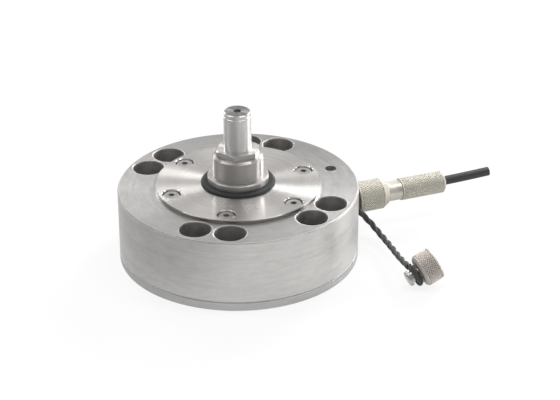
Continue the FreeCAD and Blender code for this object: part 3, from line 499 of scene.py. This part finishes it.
def chip_ceramic():
    """Black chips with tinned ends, spaced round the board."""
    finish = Finish("chip_ceramic", turn=(0, 0, CHIP_START))
    angle = finish.y.math("ARCTAN2", finish.x) + 2 * math.pi
    half = CHIP_SPACING / 2
    across = ((angle + half).math("MODULO", CHIP_SPACING) - half) * finish.radius
    tinned = across.math("ABSOLUTE").past(CHIP_END, 0, 0.05)
    speck = finish.noise(2500)
    black = finish.blend(speck, grey(0.02), grey(0.05))
    finish.wire(
        base_color=finish.blend(tinned, black, grey(0.62)),
        roughness=0.5 - tinned * 0.15 + speck * 0.1,
        metallic=tinned,
        normal=finish.bump(speck, 0.2, 0.03),
    )
    return finish.material


def contact_gold():
    """Thin gold plating, worn a little toward its nickel."""
    finish = Finish("contact_gold")
    cloud = finish.noise(900, 4)
    finish.wire(
        base_color=finish.blend(cloud, (0.8, 0.52, 0.18, 1), (0.86, 0.66, 0.34, 1)),
        roughness=0.2 + cloud * 0.15,
        metallic=1.0,
        normal=finish.bump(finish.noise(5000), 0.1, 0.02),
    )
    return finish.material


def lanyard_cord():
    """Black cord whose yarns run slantwise along each strand, by the cord's own map."""
    finish = Finish("lanyard_cord", source="UV")
    turns_along, turns_round = 46, 21
    slant = finish.x * turns_along + finish.y * turns_round
    yarn = (slant * (2 * math.pi)).math("SINE") * 0.5 + 0.5
    fluff = finish.noise(90, rough=0.7)
    finish.wire(
        base_color=finish.blend(yarn * 0.6 + fluff * 0.4, grey(0.02), grey(0.075)),
        roughness=0.6 + fluff * 0.2,
        sheen_weight=0.25,
        normal=finish.bump(yarn + fluff * 0.4, 0.35, 0.1),
    )
    return finish.material


def paint(material, *names):
    """Gives CAD nodes a material."""
    for name in names:
        for slot in nodes[name].material_slots:
            slot.material = material


def nurbs(name, route):
    """Smooth line drawn through listed points."""
    curve = bpy.data.curves.new(name, "CURVE")
    curve.dimensions = "3D"
    spline = curve.splines.new("NURBS")
    spline.points.add(len(route) - 1)
    for point, place in zip(spline.points, route):
        point.co = (*(Vector(place) * MM), 1.0)
    spline.order_u = 3
    spline.use_endpoint_u = True
    spline.resolution_u = 24
    made = bpy.data.objects.new(name, curve)
    bpy.context.scene.collection.objects.link(made)
    return made


def line_points(line):
    """Points along a line that has no thickness yet."""
    mesh = bpy.data.meshes.new_from_object(line)
    points = [vertex.co.copy() for vertex in mesh.vertices]
    bpy.data.meshes.remove(mesh)
    return points


def select_only(piece):
    bpy.ops.object.select_all(action="DESELECT")
    piece.select_set(True)
    bpy.context.view_layer.objects.active = piece


def turned(name, sides, steps):
    """Round piece drawn out ring by ring up its own axis, from steps of radius and height."""
    bpy.ops.object.select_all(action="DESELECT")
    bpy.ops.mesh.primitive_circle_add(vertices=sides, radius=steps[0][0] * MM)
    piece = bpy.context.object
    piece.name = name
    bpy.ops.object.mode_set(mode="EDIT")
    bpy.ops.mesh.select_mode(type="EDGE")
    bpy.ops.mesh.select_all(action="SELECT")
    bpy.ops.transform.translate(value=(0, 0, steps[0][1] * MM))
    for (radius, height), (next_radius, next_height) in zip(steps, steps[1:]):
        rise = (0, 0, (next_height - height) * MM)
        bpy.ops.mesh.extrude_region_move(TRANSFORM_OT_translate={"value": rise})
        grow = next_radius / radius
        bpy.ops.transform.resize(value=(grow, grow, 1), center_override=(0, 0, 0))
    bpy.ops.mesh.select_all(action="SELECT")
    bpy.ops.mesh.remove_doubles(threshold=0.001 * MM)
    bpy.ops.mesh.normals_make_consistent(inside=False)
    bpy.ops.object.mode_set(mode="OBJECT")
    return piece


def pick(piece, kind, test):
    """Selects, in edit mode, the edges or faces that pass a test."""
    bpy.ops.mesh.select_mode(type=kind)
    bpy.ops.mesh.select_all(action="DESELECT")
    mesh = bmesh.from_edit_mesh(piece.data)
    for part in mesh.edges if kind == "EDGE" else mesh.faces:
        if test(part):
            part.select_set(True)
    bmesh.update_edit_mesh(piece.data)


def knurl(piece, radius, low, high):
    """Raises diamonds on the square faces of a grip between two heights."""
    slack = 0.01 * MM
    off_round = 0.1 * MM

    def on_band(part):
        return all(
            low * MM - slack < vertex.co.z < high * MM + slack
            and abs(vertex.co.xy.length - radius * MM) < off_round
            for vertex in part.verts
        )

    def old_edge(edge):
        first, second = (vertex.co for vertex in edge.verts)
        level = abs(first.z - second.z) < slack
        upright = (first.xy - second.xy).length < slack
        border = level and min(abs(first.z - low * MM), abs(first.z - high * MM)) < slack
        return on_band(edge) and (level or upright) and not border

    select_only(piece)
    bpy.ops.object.mode_set(mode="EDIT")
    pick(piece, "FACE", on_band)
    bpy.ops.mesh.poke()
    pick(piece, "EDGE", old_edge)
    bpy.ops.mesh.dissolve_edges(use_verts=False)
    pick(piece, "FACE", lambda face: len(face.verts) == 4 and on_band(face))
    bpy.ops.mesh.inset(
        thickness=KNURL_DEPTH * 0.75 * MM, depth=KNURL_DEPTH * MM, use_individual=True
    )
    bpy.ops.object.mode_set(mode="OBJECT")


def band(radius, low, high, rows):
    """Steps of one radius, a row of square faces each, for the knurl."""
    return [(radius, low + (high - low) * row / rows) for row in range(rows + 1)]


def lay_along(piece, place, tilt):
    """Lays a piece made up its own axis along the plug's direction, tilted up from it."""
    select_only(piece)
    piece.rotation_euler = (0, math.pi / 2 - tilt, 0)
    piece.location = Vector(place) * MM
    bpy.ops.object.transform_apply(location=True, rotation=True, scale=True)
    bpy.ops.object.shade_smooth_by_angle(angle=math.radians(24))


def coupling_nut():
    """Knurled nut that screws the plug to the receptacle."""
    grip = (6.8, 1.0, 11.4)
    bore = 5.2
    front = [(bore, 0.4), (5.6, 0), (6.6, 0), (7.0, 0.4), (7.0, 0.8)]
    rear = [(7.0, 11.6), (7.0, 12.0), (5.3, 14.8), (4.7, 14.8)]
    inside = [(4.7, 13.3), (bore, 13.3), (bore, 0.4)]
    nut = turned("knurled_coupling", 36, front + band(*grip, rows=8) + rear + inside)
    knurl(nut, *grip)
    lay_along(nut, COUPLING_PLACE, 0)
    nut.data.materials.append(knurled_nickel("coupling_nickel", COUPLING_PLACE, 0, grip, bore))
    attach(nut, "coupling")
    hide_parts("coupling_nut")


def back_shell():
    """Knurled rear nut that squeezes the cable clamp."""
    grip = (4.85, 0.8, 20.0)
    bore = 4.4
    front = [(bore, 0), (4.8, 0), (5.05, 0.25), (5.05, 0.6)]
    rear = [(5.05, 20.2), (5.05, 20.7), (4.35, 21.4), (2.25, 21.4)]
    inside = [(2.25, 17.8), (bore, 14.4), (bore, 0)]
    shell = turned("knurled_back_shell", 26, front + band(*grip, rows=15) + rear + inside)
    knurl(shell, *grip)
    lay_along(shell, BACK_PLACE, 0)
    shell.data.materials.append(knurled_nickel("back_shell_nickel", BACK_PLACE, 0, grip, bore))
    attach(shell, "cell")
    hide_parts("back_shell")


def dust_cap():
    """Knurled screw cap that rests at the lanyard's end."""
    grip = (7.0, 1.4, 7.3)
    bore = 5.2
    rivet_hole = 2.5
    closed_end = [(rivet_hole, 0), (6.1, 0), (6.4, 0.15), (7.2, 1.0), (7.2, 1.2)]
    mouth = [(7.2, 7.5), (7.2, 7.8), (6.8, 8.2), (bore, 8.2)]
    inside = [(bore, 2.0), (rivet_hole, 2.0), (rivet_hole, 0)]
    cap = turned("knurled_dust_cap", 36, closed_end + band(*grip, rows=5) + mouth + inside)
    knurl(cap, *grip)
    lay_along(cap, CAP_PLACE, CAP_TILT)
    cap.data.materials.append(
        knurled_nickel("cap_nickel", CAP_PLACE, CAP_TILT, grip, bore, CAP_DULL, CAP_BRIGHT)
    )
    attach(cap, "cap")
    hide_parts("dust_cap")
    return cap


def signal_cable():
    """Short cable behind the rear nut, cut off square."""
    cable = nurbs("cable", CABLE_ROUTE)
    cable.data.bevel_depth = CABLE_DIA / 2 * MM
    cable.data.bevel_resolution = 8
    cable.data.use_fill_caps = True
    cable.data.materials.append(cable_jacket())
    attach(cable, "cell")
    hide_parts("signal_cable")


def rope_section():
    """Outline of three strands laid together, seen end on."""
    bpy.ops.object.select_all(action="DESELECT")
    out = STRAND_DIA / math.sqrt(3) * MM
    hidden = 0.15 * MM
    bpy.ops.mesh.primitive_circle_add(vertices=STRAND_SIDES, radius=STRAND_DIA / 2 * MM)
    section = bpy.context.object
    bpy.ops.object.mode_set(mode="EDIT")
    bpy.ops.mesh.select_all(action="SELECT")
    bpy.ops.transform.translate(value=(0, out, 0))
    bpy.ops.mesh.select_mode(type="VERT")
    bpy.ops.mesh.select_all(action="DESELECT")
    mesh = bmesh.from_edit_mesh(section.data)
    for vertex in mesh.verts:
        vertex.select_set(vertex.co.y < hidden)
    bmesh.update_edit_mesh(section.data)
    bpy.ops.mesh.delete(type="VERT")
    bpy.ops.mesh.select_all(action="SELECT")
    bpy.ops.mesh.spin(
        steps=2, dupli=True, angle=math.radians(240), center=(0, 0, 0), axis=(0, 0, 1)
    )
    bpy.ops.mesh.select_all(action="SELECT")
    bpy.ops.mesh.remove_doubles(threshold=0.02 * MM)
    bpy.ops.object.mode_set(mode="OBJECT")
    bpy.ops.object.convert(target="CURVE")
    return section


def rope(name, route, section):
    """Laid cord along a route, as a mesh, with the points that it follows."""
    line = nurbs(name, route)
    points = line_points(line)
    run = 0.0
    last = Vector(route[0])
    for point, place in zip(line.data.splines[0].points, route):
        run += (Vector(place) - last).length
        last = Vector(place)
        point.tilt = run / LAY * 2 * math.pi
    line.data.bevel_mode = "OBJECT"
    line.data.bevel_object = section
    line.data.use_fill_caps = True
    select_only(line)
    bpy.ops.object.convert(target="MESH")
    cord = bpy.context.object
    cord.name = name
    bpy.ops.object.shade_smooth_by_angle(angle=math.radians(50))
    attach(cord, "cell")
    return cord, points


def eye_route(centre, across, up, radius, start):
    """Points once round an eye, a little short of a full turn."""
    points = []
    for step in range(EYE_POINTS):
        angle = math.radians(start + EYE_STEP * step)
        points.append(centre + radius * (math.cos(angle) * across + math.sin(angle) * up))
    return points


def cap_lanyard(cap):
    """Laid cord with one eye round the receptacle's neck and one round the cap's rivet."""
    section = rope_section()
    cord, points = rope("lanyard", LANYARD_ROUTE, section)
    across = Vector((0, 1, 0))
    neck = Vector(NECK_EYE_PLACE)
    neck_route = eye_route(neck, -across, Vector((0, 0, 1)), radius=6.5, start=-14)
    neck_eye, _ = rope("lanyard_neck_eye", neck_route, section)
    along = Vector((math.cos(CAP_TILT), 0, math.sin(CAP_TILT)))
    up = Vector((-math.sin(CAP_TILT), 0, math.cos(CAP_TILT)))
    rivet = Vector(CAP_PLACE) - CAP_EYE_GAP * along
    cap_route = eye_route(rivet, across, up, radius=4.2, start=40)
    cap_eye, _ = rope("lanyard_cap_eye", cap_route, section)
    bpy.data.objects.remove(section)
    yarn = lanyard_cord()
    for piece in (cord, neck_eye, cap_eye):
        piece.data.materials.append(yarn)
    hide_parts("cap_lanyard")


def rays_that_see(tree, *kinds):
    """1 for the kinds of ray named, 0 for the rest."""
    path = tree.nodes.new("ShaderNodeLightPath")
    seen = Wire(path.outputs[f"Is {kinds[0]} Ray"])
    for kind in kinds[1:]:
        seen = seen.math("MAXIMUM", Wire(path.outputs[f"Is {kind} Ray"]))
    return seen


def backdrop():
    """White behind the part, with a room that is dimmer on the camera's side but for a window."""
    world = bpy.data.worlds.new("studio")
    bpy.context.scene.world = world
    world.use_nodes = True
    tree = world.node_tree
    direction = Wire(tree.nodes.new("ShaderNodeTexCoord").outputs["Generated"])

    def toward(way):
        return direction.node(
            "VectorMath", {"operation": "DOT_PRODUCT"}, {0: direction, 1: way}, "Value"
        )

    behind = toward((0.367, 0.93, 0)).fade(-0.45, 0.65)
    window = toward((-0.3, -0.76, 0.577)).fade(0.75, 0.98)
    room = 0.28 + behind * 0.37 + window * 0.22
    seen = rays_that_see(tree, "Camera")
    strength = seen + (1 - seen) * room
    tree.links.new(strength.socket, tree.nodes["Background"].inputs["Strength"])
    tree.nodes["Background"].inputs["Color"].default_value = (1, 1, 1, 1)


def floor():
    """White paper under the part, with painted shade at its left and a painted shadow by the plug,
    seen only where the steel mirrors it.
    """
    bpy.ops.object.select_all(action="DESELECT")
    bpy.ops.mesh.primitive_plane_add(size=FLOOR_SIZE)
    sheet = bpy.context.object
    sheet.name = "floor"
    paper = Finish("floor_paper")
    speck = paper.noise(800)
    paper.wire(base_color=paper.blend(speck, grey(0.86), grey(0.9)), roughness=0.9)
    tree = paper.tree
    # Painted shade to the left and a painted shadow by the plug, on the tone that only glossy rays
    # see.
    rightward = (paper.x * 0.993 - paper.y * 0.114).fade(-0.088, -0.022)
    plug_shadow = paper.x.fade(0.03, 0.05) * paper.y.fade(-0.03, -0.012)
    shade = rightward * (1 - plug_shadow * 0.6)
    tone = paper.blend(shade, grey(0.46), grey(0.97))
    mirrored = paper.place.node("Emission", {}, {"Color": tone})
    white = paper.place.node("Emission")
    glossy = rays_that_see(tree, "Glossy") * 0.8
    direct = rays_that_see(tree, "Camera", "Transmission") * 0.86
    lit = Wire(paper.shader.outputs[0])
    paper_seen = paper.place.node("MixShader", {}, {0: glossy, 1: lit, 2: mirrored})
    shown = paper.place.node("MixShader", {}, {0: direct, 1: paper_seen, 2: white})
    tree.links.new(shown.socket, tree.nodes["Material Output"].inputs["Surface"])
    sheet.data.materials.append(paper.material)


def lamp(name, place, size, power):
    """Flat lamp turned toward the part."""
    light = bpy.data.lights.new(name, "AREA")
    light.shape = "RECTANGLE"
    light.size, light.size_y = size
    light.energy = power
    made = bpy.data.objects.new(name, light)
    bpy.context.scene.collection.objects.link(made)
    made.location = place
    aim = Vector(LAMP_TARGET) - Vector(place)
    made.rotation_euler = aim.to_track_quat("-Z", "Y").to_euler()


def camera():
    """Camera fitted to the photo."""
    right = Vector((0.929512, -0.368777, -0.003210))
    up = Vector((0.173861, 0.430512, 0.885681))
    ahead = Vector((0.325237, 0.823810, -0.464283))
    lens = bpy.data.cameras.new("camera")
    lens.lens = FOCAL_LENGTH
    lens.sensor_width = SENSOR_WIDTH
    lens.clip_start = NEAREST
    made = bpy.data.objects.new("camera", lens)
    bpy.context.scene.collection.objects.link(made)
    turn = Matrix((right, up, -ahead)).transposed().to_4x4()
    made.matrix_world = Matrix.Translation(CAMERA_PLACE) @ turn
    bpy.context.scene.camera = made


paint(drum_steel(), "sensing_body")
paint(plate_steel(), "base_plate")
paint(cover_steel(), "top_cover")
paint(stem_steel(), "load_stem")
paint(screw_steel(), "cover_screws", "base_screws", "lock_screw", "cap_rivet")
paint(nickel_plate(), "receptacle_shell", "plug_body", "cable_clamp")
paint(
    rubber("seal_rubber", low=0.012, high=0.022, rough=0.6),
    "stem_seal",
    "base_seal",
    "cover_gasket",
    "receptacle_seal",
    "cable_grommet",
    "cap_pad",
)
paint(rubber("insulator", low=0.03, high=0.05, rough=0.4), "receptacle_insert", "plug_insert")
paint(contact_gold(), "receptacle_pins", "plug_contacts")
paint(lead_insulation("plug_lead_insulation", (0, 0, PLUG_HEIGHT)), "plug_leads")
paint(lead_insulation("signal_lead_insulation", (0, 0, 0)), "signal_leads")
paint(gauge_film(), "strain_gauges")
paint(board_laminate(), "bridge_board")
paint(chip_ceramic(), "bridge_resistors")

signal_cable()
coupling_nut()
back_shell()
cap_lanyard(dust_cap())

bpy.context.scene.view_settings.view_transform = "Standard"
backdrop()
floor()
camera()
lamp("overhead", place=(0.1, 0.25, 0.9), size=(0.9, 0.9), power=0.8)
lamp("right_bank", place=(1.183, 0.875, 0.85), size=(0.42, 0.42), power=15)
lamp("left_bank", place=(-0.142, 0.766, 0.45), size=(0.25, 0.25), power=1.7)
lamp("right_side", place=(0.487, -0.099, 0.082), size=(0.1, 0.16), power=0.8)
lamp("right_strip", place=(0.240, -0.110, 0.756), size=(0.09, 0.4), power=1.8)
lamp("left_strip", place=(-0.314, 0.183, 0.713), size=(0.09, 0.4), power=1.2)
